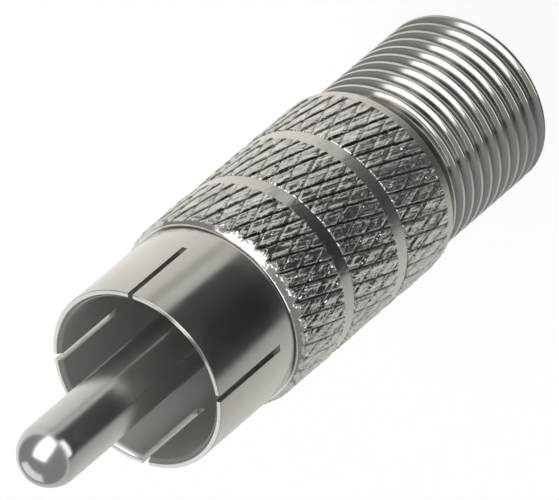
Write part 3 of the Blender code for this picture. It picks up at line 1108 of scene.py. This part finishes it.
def azimuth_ramp(tree, turn, stops):
    """Grey levels by direction, from (degrees to the right of the front, level) stops."""
    ramp_node = tree.nodes.new("ShaderNodeValToRGB")
    elements = ramp_node.color_ramp.elements
    while len(elements) < len(stops):
        elements.new(0.5)
    for element, (degrees, level) in zip(elements, stops):
        element.position = (degrees + 180) / 360
        element.color = (level, level * 0.98, level * 0.95, 1.0)
    tree.links.new(turn, ramp_node.inputs["Fac"])
    return ramp_node.outputs["Color"]


def add_card():
    """A card on the floor, out of the camera's sight, painted with the light and shade that the plating
    mirrors.
    """
    start_mesh()
    bpy.ops.mesh.primitive_circle_add(
        vertices=96, radius=CARD_RADIUS, fill_type="NGON", location=(0.0, 0.0, CARD_HEIGHT)
    )
    card = bpy.context.object
    card.name = "card"
    bpy.ops.object.transform_apply(location=True)
    tree, shader = new_material("printed_card")
    axes = tree.nodes.new("ShaderNodeSeparateXYZ")
    tree.links.new(object_place(tree), axes.inputs["Vector"])
    x, y = axes.outputs["X"], axes.outputs["Y"]
    turn = math_node(tree, "ARCTAN2", x, times(tree, y, -1.0))
    share = math_node(tree, "MULTIPLY_ADD", turn, 1 / math.tau, 0.5)
    reach = math_node(tree, "SQRT", plus(tree, times(tree, x, x), times(tree, y, y)))
    near, far = (azimuth_ramp(tree, share, levels) for levels in (NEAR_LEVELS, FAR_LEVELS))
    # Painted reflections: near and far grey levels by direction
    painted_reflection_levels = blended(tree, ranged(tree, reach, CARD_BLEND), near, far)
    tree.links.new(painted_reflection_levels, shader.inputs["Base Color"])
    shader.inputs["Roughness"].default_value = 0.95
    shader.inputs["Specular IOR Level"].default_value = 0.0
    card.data.materials.append(bpy.data.materials["printed_card"])
    card.visible_camera = False
    card.visible_shadow = False


def add_world():
    studio = settings().studio
    world = bpy.data.worlds.new("room")
    bpy.context.scene.world = world
    world.use_nodes = True
    tree = world.node_tree
    background = tree.nodes["Background"]
    background.inputs["Color"].default_value = (1.0, 1.0, 1.0, 1.0)
    strength = ranged(tree, background_rays(tree, studio.sky_mirrored), target=(studio.sky, 1.0))
    tree.links.new(strength, background.inputs["Strength"])


def add_camera():
    studio = settings().studio
    data = bpy.data.cameras.new("camera")
    data.sensor_width = 36.0
    data.lens = studio.lens
    data.clip_start = 0.01
    data.clip_end = 20.0
    camera = bpy.data.objects.new("camera", data)
    bpy.context.scene.collection.objects.link(camera)
    back = Vector((0.0, -math.cos(studio.elevation), math.sin(studio.elevation)))
    aim = Vector((studio.aim_side, 0.0, studio.aim_height))
    tilt = Euler((math.pi / 2 - studio.elevation, 0.0, 0.0)).to_matrix()
    turn = Matrix.Rotation(studio.roll, 3, "Z")
    camera.matrix_world = Matrix.Translation(aim + back * studio.distance) @ (tilt @ turn).to_4x4()
    bpy.context.scene.camera = camera


class ADAPTER_OT_stage(Operator):
    """Adds the camera, the floor, the lamps and the room"""

    bl_idname = "adapter.stage"
    bl_label = "Stage"

    def execute(self, context):
        scene = context.scene
        scene.view_settings.view_transform = "Standard"
        add_camera()
        add_floor()
        add_card()
        add_world()
        for name, build in LAMPS.items():
            softbox(name, *build, getattr(settings().studio, name))
        bpy.data.objects["fill"].visible_glossy = False
        return {"FINISHED"}


class AdapterSettings(PropertyGroup):
    """All the sizes, colours and studio settings."""

    knurl: PointerProperty(type=KnurlSizes, name="Knurled body", description="Sizes of the knurled body")
    thread: PointerProperty(type=ThreadSizes, name="Barrel", description="Sizes of the threaded barrel")
    inner: PointerProperty(type=InnerSizes, name="Inner pieces", description="Sizes of the inner pieces")
    colours: PointerProperty(type=FinishColours, name="Colours", description="Colours of the finishes")
    studio: PointerProperty(type=StudioSettings, name="Studio", description="Camera, floor and lamps")


OPERATORS = (
    ADAPTER_OT_stage,
    ADAPTER_OT_finishes,
    ADAPTER_OT_body,
    ADAPTER_OT_barrel,
    ADAPTER_OT_pin,
    ADAPTER_OT_insulators,
)


class ADAPTER_PT_panel(Panel):
    """Lists the adapter's pieces and its settings"""

    bl_idname = "ADAPTER_PT_panel"
    bl_label = "Adapter"
    bl_space_type = "VIEW_3D"
    bl_region_type = "UI"
    bl_category = "Adapter"

    def draw(self, context):
        for operator in OPERATORS:
            self.layout.operator(operator.bl_idname)
        for group in ("knurl", "thread", "inner", "colours", "studio"):
            column = self.layout.column()
            values = getattr(context.scene.adapter, group)
            for name in values.bl_rna.properties.keys():
                if name not in ("rna_type", "name"):
                    column.prop(values, name)


GROUPS = (KnurlSizes, ThreadSizes, InnerSizes, FinishColours, StudioSettings, AdapterSettings)


def register():
    for item in GROUPS + OPERATORS + (ADAPTER_PT_panel,):
        bpy.utils.register_class(item)
    bpy.types.Scene.adapter = PointerProperty(type=AdapterSettings)


def unregister():
    del bpy.types.Scene.adapter
    for item in reversed(GROUPS + OPERATORS + (ADAPTER_PT_panel,)):
        bpy.utils.unregister_class(item)


def main():
    register()
    bpy.ops.adapter.stage()
    bpy.ops.adapter.finishes()
    bpy.ops.adapter.body()
    bpy.ops.adapter.barrel()
    bpy.ops.adapter.pin()
    bpy.ops.adapter.insulators()


if __name__ == "__main__":
    main()
